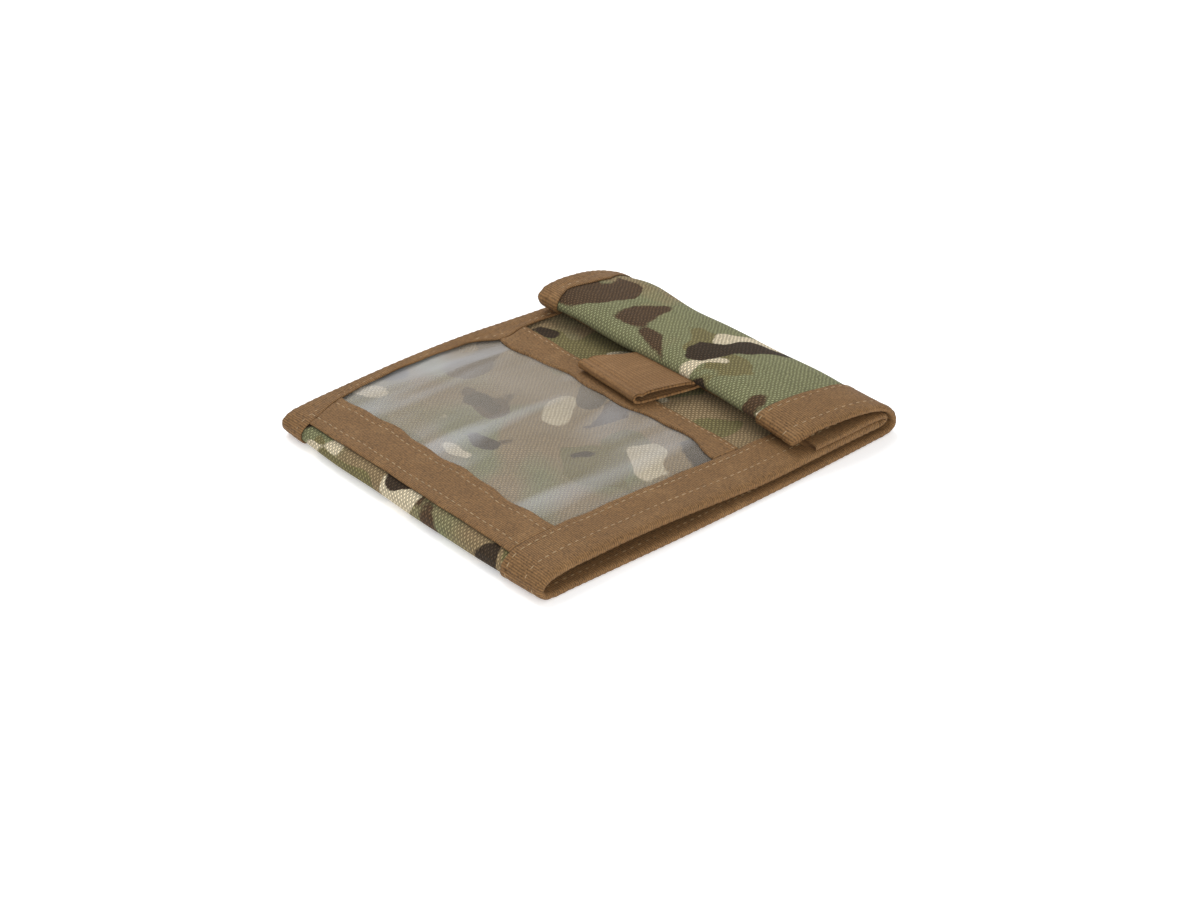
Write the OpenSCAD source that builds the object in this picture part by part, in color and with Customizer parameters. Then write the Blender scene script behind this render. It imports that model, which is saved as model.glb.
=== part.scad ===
// Trifold wallet in camouflage cloth with taped edges, folded shut and lying on its back panel.
// X runs from the left fold to the right fold and Y from the near edge to the far edge.
// The origin is the middle of the underside.
// Every layer is drawn on the middle of its shell cloth: the back panel's layers lie flat,
// each fold is a strip between two hinge lines, and the window panel and the closing flap
// share one slightly tilted frame that starts at the upper hinge line of the left fold.

/* [Overall] */
// Length over the two folds
wallet_length = 110; // [100:1:130]
// Width over the two bound edges
wallet_width = 95; // [85:1:110]
// Height of the window panel's shell at the left fold
left_height = 6.2; // [5.8:0.1:8]
// Height of the window panel's shell at the right fold
right_height = 3.7; // [3.6:0.1:4.5]

/* [Cloth and tape] */
// Thickness of the outer shell cloth
shell_t = 0.7; // [0.5:0.05:0.8]
// Thickness of the lining cloth
lining_t = 0.4; // [0.3:0.05:0.5]
// Thickness of the ribbed binding tape
tape_t = 0.5; // [0.35:0.05:0.55]
// Thickness of the cloth of the inner pockets
pocket_t = 0.35; // [0.25:0.05:0.4]
// Thickness of the narrow tape on the pocket mouths
mouth_tape_t = 0.3; // [0.2:0.05:0.35]

/* [Binding] */
// Width of the tape on each face along the near edge, half of a one inch tape
front_cover = 12.7; // [8:0.1:16]
// Width of the tape on each face along the far edge
rear_cover = 5; // [4:0.1:12.7]

/* [Clear window] */
// Thickness of the clear sheet
window_t = 0.3; // [0.2:0.05:0.4]
// Distance from the left fold to the tape beside the window
window_start = 2.6; // [2:0.1:10]
// Width of the tape beside the window
side_tape_w = 12.4; // [8:0.1:16]
// Length of clear sheet that shows between the two tapes
window_length = 46.3; // [35:0.1:50]
// Width of the tape along the window's mouth
window_mouth_w = 8; // [5:0.1:10]

/* [Landing band] */
// Length of the band turned back on the window panel
landing_length = 22.1; // [20:0.1:26]
// Width of the tape on the band's free end
landing_tape_w = 4.6; // [3:0.1:5]
// Width of the loop tape and of the hook tape
fastener_w = 14; // [10:0.5:16]
// Thickness of the loop tape
loop_t = 1.3; // [1:0.1:1.6]
// Thickness of the hook tape
hook_t = 1.1; // [0.8:0.1:1.4]
// Room left at each end of the hook tape and the loop tape
fastener_margin = 4; // [1:0.5:8]

/* [Closing flap] */
// How far the flap's sides are set in from the wallet's edges
flap_inset = 1.2; // [0.5:0.1:5]
// How far the right fold leans in at its top
fold_lean = 3.15; // [2.5:0.05:4]
// Length along the flap's top from its shoulder to its rolled end
flap_length = 20.9; // [18:0.1:24]
// Length along the bend between the fold and the flap's top
shoulder_length = 5.4; // [5:0.1:7]
// Angle that the shoulder bends through
shoulder_bend = 30; // [25:1:35]
// Angle that the flap's top bends through
top_bend = 19; // [15:1:22]
// Length of cloth turned under behind the rolled end
hem_length = 5; // [3:0.1:7]

/* [Pull tab] */
// Width of the folded webbing
tab_w = 25.4; // [15:0.1:38]
// Length from the tab's seam to its folded end
tab_length = 16.2; // [12:0.1:25]
// Thickness of one ply of the webbing
tab_t = 0.75; // [0.5:0.05:0.8]
// Radius of the folded end, at the middle of the ply
tab_round = 1.5; // [1:0.05:1.8]
// Sideways place of the tab's middle
tab_y = 2.3; // [-15:0.1:15]
// Length of the tail sewn under the flap
tail_length = 6; // [4:0.1:7]

/* [Inner pockets] */
// Length of the two card pockets along the back panel
card_pocket_l = 92; // [88:1:95]
// Reach of the upper card pocket past the near tape
upper_pocket_reach = 58; // [50:1:62]
// Reach of the lower card pocket past the near tape
lower_pocket_reach = 43; // [30:1:48]
// Length of the slip pocket inside the window panel
slip_pocket_l = 76; // [60:1:84]
// Reach of the slip pocket past the near tape
slip_pocket_reach = 66; // [64:1:70]
// Width of the narrow tape on the pocket mouths
mouth_tape_w = 4; // [3:0.1:6]

/* [Hidden] */

// Clearance between cloth on the two sides of a hinge line
hinge_gap = 0.1;
// Clearance between the window panel's round end and the right fold
end_gap = 0.4;
// Clearance between the closed hook tape and loop tape
closing_gap = 0.2;
// Clearance between the pull tab and the window's mouth tape
tab_gap = 0.35;
// Height of the flap's hinge line below the underside of its lining
flap_hinge_drop = 1.1;
// Length of the slope where the window panel's tape steps down past the window
step_length = 3;
// Points along each arc of the flap
arc_steps = 10;

// Distances from the middle of the shell cloth to the faces of the layers on it
core_r = shell_t / 2;
lined = core_r + lining_t;
edge_r = core_r + tape_t;
inner_edge = lined + tape_t;

half_width = wallet_width / 2;
front_inner = -half_width + front_cover;
rear_inner = half_width - rear_cover;

// The two lower hinge lines, left and right, at the height of the back panel's shell
fold_x = wallet_length / 2 - edge_r;
base_z = edge_r;
tilt = atan((left_height - right_height) / (2 * fold_x));

// Layers on the outer face of the window panel, as heights over the middle of its shell
window_v = core_r + mouth_tape_t;
window_top = window_v + window_t;
window_tape_top = window_top + tape_t;
window_mouth_top = window_top + mouth_tape_t;
landing_v = edge_r + tape_t;
landing_mid = landing_v + core_r;
loop_v = landing_v + shell_t;
hook_v = loop_v + loop_t + closing_gap;
flap_base = hook_v + hook_t;

// The upper hinge line of the right fold, and the right fold's length and lean
flap_hinge_x = fold_x - fold_lean;
flap_hinge_z = right_height + flap_base - flap_hinge_drop;
right_fold_length = norm([fold_lean, flap_hinge_z - base_z]);
right_lean = asin(fold_lean / right_fold_length);
left_fold_length = left_height - base_z;

// The round end of the window panel, clear of the right fold
round_mid = landing_mid / 2;
round_lean = fold_lean * (right_height + round_mid - base_z) / (flap_hinge_z - base_z);
round_reach = round_mid + edge_r;
panel_end = 2 * fold_x - round_lean - (round_reach + inner_edge + end_gap) / cos(right_lean);
landing_start = panel_end - landing_length;

// Places along the window panel
side_tape_start = window_start;
clear_start = side_tape_start + side_tape_w;
mouth_start = clear_start + window_length;
mouth_end = mouth_start + window_mouth_w;
fastener_start = landing_start + landing_tape_w + 0.2;
fastener_end = fastener_start + fastener_w;

// The flap's hinge line in the tilted frame
hinge_dx = flap_hinge_x + fold_x;
hinge_dz = flap_hinge_z - left_height;
flap_hinge = [hinge_dx * cos(tilt) - hinge_dz * sin(tilt), hinge_dx * sin(tilt) + hinge_dz * cos(tilt)];
flap_start_heading = 168 - shoulder_bend;
hem_mid = flap_base + core_r;

// How far a layer stays back from a hinge line when the cloth beyond the line leans over it
function setback(reach, lean = 0) = (reach + hinge_gap + reach * sin(lean)) / cos(lean);

// One arc of a path of [x, z, heading]: a length run through an even turn
function arc_point(s, length, turn) =
    let (r = length / (turn * PI / 180))
    [s.x + r * (sin(s[2] + turn) - sin(s[2])), s.y + r * (cos(s[2]) - cos(s[2] + turn)), s[2] + turn];
function straight_point(s, length) = [s.x + length * cos(s[2]), s.y + length * sin(s[2]), s[2]];
function along(s, length, turn) = turn == 0 ? straight_point(s, length) : arc_point(s, length, turn);
function arc_path(s, length, turn) =
    [for (i = [1 : arc_steps]) along(s, length * i / arc_steps, turn * i / arc_steps)];
function path_end(path) = path[len(path) - 1];

// The points at one distance to the right of a path
function beside(path, d) = [for (s = path) [s.x + d * sin(s[2]), s.y - d * cos(s[2])]];
function backwards(points) = [for (i = [len(points) - 1 : -1 : 0]) points[i]];
function ribbon(path, d0, d1) = concat(beside(path, d0), backwards(beside(path, d1)));

// The middle of the flap's shell from its hinge line over the top to the end of the hem
function flap_path(start) =
    let (hinge = [flap_hinge.x, flap_hinge.y, flap_start_heading],
         bend_start = straight_point(hinge, setback(inner_edge)),
         shoulder = arc_path(bend_start, shoulder_length - setback(inner_edge), shoulder_bend),
         top = arc_path(path_end(shoulder), flap_length, top_bend),
         tip = path_end(top),
         turn = 360 - tip[2],
         roll_r = (tip.y - hem_mid) / (1 + cos(tip[2] - 180)),
         roll = arc_path(tip, roll_r * turn * PI / 180, turn),
         hem = [straight_point(path_end(roll), hem_length)])
    concat([straight_point(hinge, start)], shoulder, top, roll, hem);

flap_line = flap_path(setback(core_r));
flap_edge_line = flap_path(setback(inner_edge));
hem_end = path_end(flap_line).x;
roll_start = hem_end - hem_length;

// The lining reaches to where the shoulder first leaves room for it
flap_base_end = [for (s = beside(flap_line, -core_r)) if (s.y >= flap_base + lining_t) s.x][0];

// The tab's seam and the droop of its folded end
tab_hinge = [roll_start - 1.8, flap_base - tab_t];
tail_start = tab_hinge.x + tab_t + hinge_gap;
tab_run = tab_length - tab_round - tab_t / 2;
tab_end_mid = window_mouth_top + tab_gap + tab_t / 2 + tab_round;
tab_droop = asin((tab_hinge.y - tab_end_mid) / tab_run);
tab_spread = asin((tab_round - tab_t / 2) / tab_run);

camo_colour = "#7d7558";
camo_dark = "#5f5a44";
tape_colour = "#a58e6c";
lining_colour = "#8f7c5f";
webbing_colour = "#ab9574";
fastener_colour = "#75654c";

// A profile in X and Z drawn out along Y from y0 to y1
module along_y(y0, y1) {
    translate([0, y1, 0]) rotate([90, 0, 0]) linear_extrude(y1 - y0) children();
}

// A flat layer between two places in X, in Y and in Z
module layer(x0, x1, y0, y1, z0, z1) {
    translate([x0, y0, z0]) cube([x1 - x0, y1 - y0, z1 - z0]);
}

// A strip profile with two round ends, from the origin up to a length
module strip_profile(length, r) {
    translate([-r, 0]) square([2 * r, length]);
    for (z = [0, length]) translate([0, z]) circle(r, $fn = 32);
}

module profile_box(x0, x1, z0, z1) {
    translate([x0, z0]) square([x1 - x0, z1 - z0]);
}

// A binding along the near or the far edge: child 0 is its outline and child 1 is
// the slot that the bound layers fill behind the tape's turned edge
module binding(near, inset = 0) {
    edge = near ? -half_width + inset : half_width - inset;
    inner = near ? front_inner : rear_inner;
    wall = near ? edge + tape_t : edge - tape_t;
    difference() {
        along_y(min(edge, inner), max(edge, inner)) children(0);
        along_y(near ? wall : inner - 1, near ? inner + 1 : wall) children(1);
    }
}

// The frames that the pieces are drawn in
module on_window_panel() {
    translate([-fold_x, 0, left_height]) rotate([0, tilt, 0]) children();
}
module on_left_fold() {
    translate([-fold_x, 0, base_z]) children();
}
module on_right_fold() {
    translate([fold_x, 0, base_z]) rotate([0, -right_lean, 0]) mirror([1, 0, 0]) children();
}

// Cloth of a panel: full width between the bindings' ends, and closer to the hinge lines between the tapes
module panel_cloth(x0, x1, near_x0, near_x1, z0, z1) {
    layer(x0, x1, -half_width + tape_t, half_width - tape_t, z0, z1);
    layer(near_x0, near_x1, front_inner, rear_inner, z0, z1);
}

// ---- Back panel ----

back_left = -fold_x + setback(inner_edge);
back_right = fold_x - setback(inner_edge, right_lean);

module back_shell() color(camo_dark)
    panel_cloth(back_left, back_right, -fold_x + setback(core_r), fold_x - setback(core_r, right_lean),
                base_z - core_r, base_z + core_r);

module back_lining() color(lining_colour)
    panel_cloth(back_left, back_right, -fold_x + setback(lined), fold_x - setback(lined, right_lean),
                base_z + core_r, base_z + lined);

module back_binding(near) color(tape_colour)
    binding(near) {
        profile_box(back_left, back_right, base_z - edge_r, base_z + inner_edge);
        profile_box(back_left - 1, back_right + 1, base_z - core_r, base_z + lined);
    }
module back_front_binding() back_binding(true);
module back_rear_binding() back_binding(false);

// A pocket ply from the near tape to its mouth, and the tape on the mouth
module pocket_ply(x0, x1, reach, z0) {
    layer(x0, x1, front_inner, front_inner + reach, z0, z0 + pocket_t);
}
module pocket_tape(x0, x1, reach, z0) {
    layer(x0, x1, front_inner + reach - mouth_tape_w, front_inner + reach, z0, z0 + mouth_tape_t);
}

module upper_card_pocket() color(lining_colour)
    pocket_ply(-card_pocket_l / 2, card_pocket_l / 2, upper_pocket_reach, base_z + lined);
module upper_pocket_tape() color(tape_colour)
    pocket_tape(-card_pocket_l / 2, card_pocket_l / 2, upper_pocket_reach, base_z + lined + pocket_t);
module lower_card_pocket() color(lining_colour)
    pocket_ply(-card_pocket_l / 2, card_pocket_l / 2, lower_pocket_reach, base_z + lined + pocket_t);
module lower_pocket_tape() color(tape_colour)
    pocket_tape(-card_pocket_l / 2, card_pocket_l / 2, lower_pocket_reach, base_z + lined + 2 * pocket_t);

// ---- Folds ----

module fold_shell(length) {
    along_y(-half_width + tape_t, half_width - tape_t) strip_profile(length, core_r);
}

// The lining stays clear of the panel's cloth that a leaning fold tips it towards
module fold_lining(length, lean = 0) {
    lower_end = (core_r + hinge_gap + lined * sin(lean)) / cos(lean);
    layer(core_r, lined, -half_width + tape_t, half_width - tape_t, lower_end, length - core_r - hinge_gap);
}

module fold_binding(length, near) {
    binding(near) {
        union() {
            strip_profile(length, edge_r);
            profile_box(0, inner_edge, edge_r, length - edge_r);
        }
        union() {
            strip_profile(length, core_r);
            profile_box(0, lined, core_r, length - core_r);
        }
    }
}

module left_fold_shell() color(camo_colour) on_left_fold() fold_shell(left_fold_length);
module left_fold_lining() color(lining_colour) on_left_fold() fold_lining(left_fold_length);
module left_fold_front_binding() color(tape_colour) on_left_fold() fold_binding(left_fold_length, true);
module left_fold_rear_binding() color(tape_colour) on_left_fold() fold_binding(left_fold_length, false);

module right_fold_shell() color(camo_colour) on_right_fold() fold_shell(right_fold_length);
module right_fold_lining() color(lining_colour) on_right_fold() fold_lining(right_fold_length, right_lean);
module right_fold_front_binding() color(tape_colour) on_right_fold() fold_binding(right_fold_length, true);
module right_fold_rear_binding() color(tape_colour) on_right_fold() fold_binding(right_fold_length, false);

// ---- Window panel ----

panel_left = setback(inner_edge);

module window_shell() color(camo_colour) on_window_panel()
    panel_cloth(panel_left, panel_end, setback(core_r), panel_end, -core_r, core_r);

module window_lining() color(lining_colour) on_window_panel()
    panel_cloth(panel_left, panel_end, setback(lined), panel_end, -lined, -core_r);

// Over the window the outer ply of the tape also covers the clear sheet, and it steps down beyond it
module window_binding(near) color(tape_colour) on_window_panel()
    binding(near) {
        polygon([[panel_left, -inner_edge], [panel_end, -inner_edge], [panel_end, edge_r],
                 [mouth_end + step_length, edge_r], [mouth_end, window_tape_top],
                 [panel_left, window_tape_top]]);
        polygon([[panel_left - 1, -lined], [panel_end + 1, -lined], [panel_end + 1, core_r],
                 [mouth_end + step_length, core_r], [mouth_end, window_top], [panel_left - 1, window_top]]);
    }
module window_front_binding() window_binding(true);
module window_rear_binding() window_binding(false);

module clear_window() color("#c9cdbf") on_window_panel()
    layer(side_tape_start, mouth_end - mouth_tape_t, -half_width + tape_t, half_width - tape_t,
          window_v, window_top);

module window_side_tape() color(tape_colour) on_window_panel()
    layer(side_tape_start, clear_start, front_inner, rear_inner, window_top, window_tape_top);

// The tape folded over the window's mouth, one ply above the sheet and one below
module window_mouth_tape() color(tape_colour) on_window_panel()
    difference() {
        layer(mouth_start, mouth_end, front_inner, rear_inner, core_r, window_mouth_top);
        layer(mouth_start - 1, mouth_end - mouth_tape_t, front_inner - 1, rear_inner + 1, window_v, window_top);
    }

// The window panel's cloth turns back round its end and runs along the top as the landing band
module round_ended(r, length) {
    circle(r, $fn = 48);
    translate([-length, 0]) square([length, r]);
}
module turned_profile(r0, r1, start) {
    length = panel_end - start;
    translate([panel_end, round_mid]) difference() {
        round_ended(r1, length);
        round_ended(r0, length + 1);
        translate([-2 * r1, -2 * r1]) square(2 * r1);
    }
}

module landing_band() color(camo_dark) on_window_panel()
    along_y(-half_width + tape_t, half_width - tape_t)
        turned_profile(round_mid - core_r, round_mid + core_r, landing_start + tape_t);

module landing_binding(near) color(tape_colour) on_window_panel()
    binding(near) {
        turned_profile(round_mid - edge_r, round_reach, landing_start);
        turned_profile(round_mid - core_r, round_mid + core_r, landing_start - 1);
    }
module landing_front_binding() landing_binding(true);
module landing_rear_binding() landing_binding(false);

module landing_end_tape() color(tape_colour) on_window_panel()
    difference() {
        layer(landing_start, landing_start + landing_tape_w, front_inner, rear_inner,
              landing_v - tape_t, loop_v + tape_t);
        layer(landing_start + tape_t, landing_start + landing_tape_w + 1, front_inner - 1, rear_inner + 1,
              landing_v, loop_v);
    }

module loop_tape() color(fastener_colour) on_window_panel()
    layer(fastener_start, fastener_end, front_inner + fastener_margin, rear_inner - fastener_margin,
          loop_v, loop_v + loop_t);

module slip_pocket() color(lining_colour) on_window_panel()
    pocket_ply(panel_left + 6, panel_left + 6 + slip_pocket_l, slip_pocket_reach, -lined - pocket_t);
module slip_pocket_tape() color(tape_colour) on_window_panel()
    pocket_tape(panel_left + 6, panel_left + 6 + slip_pocket_l, slip_pocket_reach,
                -lined - pocket_t - mouth_tape_t);

// ---- Closing flap ----

flap_edge = half_width - flap_inset;

module flap_shell() color(camo_colour) on_window_panel() {
    along_y(-flap_edge + tape_t, flap_edge - tape_t) polygon(ribbon(flap_edge_line, -core_r, core_r));
    along_y(front_inner, rear_inner) polygon(ribbon(flap_line, -core_r, core_r));
}

module flap_lining() color(lining_colour) on_window_panel()
    layer(hem_end, flap_base_end, -flap_edge + tape_t, flap_edge - tape_t, flap_base, flap_base + lining_t);

// The flap's edge, closed by tape over its whole arched section
module flap_section(outer, base) {
    polygon(concat(beside(flap_edge_line, outer), [[flap_base_end, base], beside(flap_edge_line, -core_r)[0]]));
}

module flap_binding(near) color(tape_colour) on_window_panel()
    binding(near, flap_inset) {
        flap_section(edge_r, flap_base - tape_t);
        flap_section(core_r, flap_base);
    }
module flap_front_binding() flap_binding(true);
module flap_rear_binding() flap_binding(false);

module hook_tape() color(fastener_colour) on_window_panel()
    layer(fastener_start, fastener_end, front_inner + fastener_margin, rear_inner - fastener_margin,
          hook_v, flap_base);

module tab_tail() color(webbing_colour) on_window_panel()
    layer(tail_start, tail_start + tail_length, tab_y - tab_w / 2, tab_y + tab_w / 2,
          flap_base - 2 * tab_t, flap_base);

// ---- Pull tab ----

// The webbing leaves the seam, widens to its folded end and comes back, drawn along -X
module pull_tab() color(webbing_colour) on_window_panel()
    translate([tab_hinge.x, 0, tab_hinge.y]) rotate([0, -tab_droop, 0])
        along_y(tab_y - tab_w / 2, tab_y + tab_w / 2)
            difference() {
                polygon(concat(beside(tab_path(), -tab_t / 2), seam_round));
                polygon(beside(tab_path(), tab_t / 2));
            }
seam_round = [for (a = [75 : -25 : -75]) tab_t * [cos(a), sin(a)]];
function tab_path() =
    let (s0 = [0, -tab_t / 2, 180 + tab_spread],
         lower = straight_point(s0, tab_run * cos(tab_spread)),
         turn = -180 - 2 * tab_spread,
         fold = arc_path(lower, tab_round * -turn * PI / 180, turn),
         upper = straight_point(path_end(fold), tab_run * cos(tab_spread)))
    concat([s0, lower], fold, [upper]);

back_shell();
back_lining();
back_front_binding();
back_rear_binding();
upper_card_pocket();
upper_pocket_tape();
lower_card_pocket();
lower_pocket_tape();
left_fold_shell();
left_fold_lining();
left_fold_front_binding();
left_fold_rear_binding();
window_shell();
window_lining();
window_front_binding();
window_rear_binding();
clear_window();
window_side_tape();
window_mouth_tape();
landing_band();
landing_front_binding();
landing_rear_binding();
landing_end_tape();
loop_tape();
slip_pocket();
slip_pocket_tape();
right_fold_shell();
right_fold_lining();
right_fold_front_binding();
right_fold_rear_binding();
flap_shell();
flap_lining();
flap_front_binding();
flap_rear_binding();
hook_tape();
tab_tail();
pull_tab();
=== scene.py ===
import bpy
import numpy as np
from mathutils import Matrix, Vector


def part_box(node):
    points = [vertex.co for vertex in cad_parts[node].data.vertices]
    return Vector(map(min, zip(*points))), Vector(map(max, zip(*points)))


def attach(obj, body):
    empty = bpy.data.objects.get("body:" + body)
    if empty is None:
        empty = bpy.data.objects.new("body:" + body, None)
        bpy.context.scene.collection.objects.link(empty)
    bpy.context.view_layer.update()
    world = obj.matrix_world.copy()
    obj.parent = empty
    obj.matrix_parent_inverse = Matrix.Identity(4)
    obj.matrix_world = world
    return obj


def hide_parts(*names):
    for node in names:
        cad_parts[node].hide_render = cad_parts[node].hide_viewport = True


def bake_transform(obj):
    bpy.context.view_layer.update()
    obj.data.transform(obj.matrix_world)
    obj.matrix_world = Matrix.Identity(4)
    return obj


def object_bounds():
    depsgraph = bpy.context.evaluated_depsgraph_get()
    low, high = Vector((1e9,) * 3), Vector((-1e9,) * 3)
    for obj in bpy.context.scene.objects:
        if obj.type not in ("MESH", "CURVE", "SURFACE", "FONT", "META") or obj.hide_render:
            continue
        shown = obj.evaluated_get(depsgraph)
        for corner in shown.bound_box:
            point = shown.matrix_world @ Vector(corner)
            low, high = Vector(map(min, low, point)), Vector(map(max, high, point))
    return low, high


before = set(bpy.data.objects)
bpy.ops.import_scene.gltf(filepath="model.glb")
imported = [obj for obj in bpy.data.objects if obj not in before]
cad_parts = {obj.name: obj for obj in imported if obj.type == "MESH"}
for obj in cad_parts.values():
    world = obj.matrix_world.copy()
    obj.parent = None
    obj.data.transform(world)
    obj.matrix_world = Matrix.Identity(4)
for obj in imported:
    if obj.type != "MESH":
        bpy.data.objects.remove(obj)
scene = bpy.context.scene
cadLow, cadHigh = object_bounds()
mm = 0.001
chance = np.random.default_rng(41)
halfWidth = 47.0  # millimetres from a strip's middle to its edge, for patterns and grid steps

# camera and studio
view = {
    "azimuth": -41.5, "elevation": 31.15, "distance": 587.0, "target": (-3.64, -8.08, 0.0),
    "lens": 75.0, "sensor": 36.0,
}


def placeCamera(v):
    # location = target + distance * (sin a cos e, -cos a cos e, sin e)
    a, e = np.radians(v["azimuth"]), np.radians(v["elevation"])
    back = Vector((np.sin(a) * np.cos(e), -np.cos(a) * np.cos(e), np.sin(e)))
    data = bpy.data.cameras.new("camera")
    data.lens, data.sensor_width = v["lens"], v["sensor"]
    data.clip_start, data.clip_end = 0.01, 20.0
    camera = bpy.data.objects.new("camera", data)
    scene.collection.objects.link(camera)
    camera.location = Vector(v["target"]) * mm + back * v["distance"] * mm
    camera.rotation_euler = (-back).to_track_quat("-Z", "Y").to_euler()
    scene.camera = camera


def areaLight(name, place, size, power, tone=(1, 1, 1), height=None):
    # a lamp that faces the origin: round, or a rectangle if it has a height
    data = bpy.data.lights.new(name, "AREA")
    data.shape = "RECTANGLE" if height else "DISK"
    data.size, data.size_y, data.energy, data.color = size, height or size, power, tone
    lamp = bpy.data.objects.new(name, data)
    scene.collection.objects.link(lamp)
    lamp.location = place
    lamp.rotation_euler = (-Vector(place)).to_track_quat("-Z", "Y").to_euler()


placeCamera(view)
print("camera placed")


# shader maths
class Wire:
    # one socket of a material's tree; + - * and ** add Math nodes
    def __init__(self, tree, socket=None):
        self.tree, self.socket = tree, socket

    def node(self, kind, settings=None, inputs=None, out=0):
        made = self.tree.nodes.new(kind)
        for name, value in (settings or {}).items():
            setattr(made, name, value)
        for name, value in (inputs or {}).items():
            if isinstance(value, Wire):
                self.tree.links.new(value.socket, made.inputs[name])
            else:
                made.inputs[name].default_value = value
        return Wire(self.tree, made.outputs[out])

    def maths(self, operation, *values, clamp=False):
        return self.node("ShaderNodeMath", {"operation": operation, "use_clamp": clamp}, dict(enumerate(values)))

    def __add__(self, other):
        return self.maths("ADD", self, other)

    def __sub__(self, other):
        return self.maths("SUBTRACT", self, other)

    def __mul__(self, other):
        return self.maths("MULTIPLY", self, other)

    def __pow__(self, other):
        return self.maths("POWER", self, other)

    def __rsub__(self, other):
        return self.maths("SUBTRACT", other, self)

    __radd__ = __add__
    __rmul__ = __mul__

    def sine(self):
        return self.maths("SINE", self)

    def size(self):
        return self.maths("ABSOLUTE", self)

    def step(self, edge, soft):
        # 0 below the edge and 1 above it, over a width of soft
        return self.maths("MULTIPLY_ADD", self, 1 / soft, 0.5 - edge / soft, clamp=True)

    def clip(self):
        return self.maths("ADD", self, 0.0, clamp=True)


def tint(r, g, b):
    # an 8-bit display colour as linear light
    c = np.array([r, g, b]) / 255.0
    return (*np.where(c < 0.04045, c / 12.92, ((c + 0.055) / 1.055) ** 2.4).tolist(), 1.0)


def blendColour(mask, a, b):
    # colour a where the mask is 0 and colour b where it is 1
    return mask.node("ShaderNodeMix", {"data_type": "RGBA"}, {0: mask, 6: a, 7: b}, out=2)


def shaded(colour, shade):
    # a colour times a grey that varies over the piece
    grey = shade.node("ShaderNodeCombineXYZ", inputs={0: shade, 1: shade, 2: shade})
    settings = {"data_type": "RGBA", "blend_type": "MULTIPLY"}
    return shade.node("ShaderNodeMix", settings, {0: 1.0, 6: colour, 7: grey}, out=2)


def clothSpace(tree):
    # the piece's own UV map, and its millimetres along and across the cloth
    start = Wire(tree)
    uv = start.node("ShaderNodeTexCoord", out=2)
    split = start.node("ShaderNodeSeparateXYZ", inputs={0: uv})
    return uv, split, Wire(tree, split.socket.node.outputs[1])


def scaled(uv, x, y):
    return uv.node("ShaderNodeVectorMath", {"operation": "MULTIPLY"}, {0: uv, 1: (x, y, 1.0)})


def noise(uv, scale, seed, detail=2.0, rough=0.5, warp=0.0):
    inputs = {"Vector": uv, "W": seed, "Scale": scale, "Detail": detail, "Roughness": rough, "Distortion": warp}
    return uv.node("ShaderNodeTexNoise", {"noise_dimensions": "4D"}, inputs)


def newMaterial(name, **constants):
    material = bpy.data.materials.new(name)
    material.use_nodes = True
    tree = material.node_tree
    surface = tree.nodes["Principled BSDF"]
    for key, value in constants.items():
        surface.inputs[key.replace("_", " ")].default_value = value
    return material, tree, surface


def join(tree, surface, name, wire):
    tree.links.new(wire.socket, surface.inputs[name])


def bump(wire, strength, depth):
    return wire.node("ShaderNodeBump", inputs={"Strength": strength, "Distance": depth * mm, "Height": wire})


# materials
camouflage = {  # 8-bit colours, then noise scales for each millimetre, thresholds and their softness, yarn pitches
    "green": (134, 134, 98), "olive": (126, 117, 78), "khaki": (150, 129, 96), "brown": (88, 68, 48),
    "dark": (64, 51, 37), "cream": (216, 202, 172), "blotch": 0.036, "spot": 0.062, "ragged": 0.045,
    "oliveFrom": 0.57, "brownFrom": 0.64, "groundSoft": 0.11, "soft": 0.012,
    "ribPitch": 0.56, "knotPitch": 0.66, "veil": 0.28,
}
shellMix = {"greens": 0.54, "creams": 0.636, "darks": 0.64, "drift": 0.0011}


def weave(across, along, pitch):
    # over and under in turn: the product of two sines, one yarn wide each way
    return (along * (np.pi / pitch)).sine() * (across * (np.pi / pitch)).sine()


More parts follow.
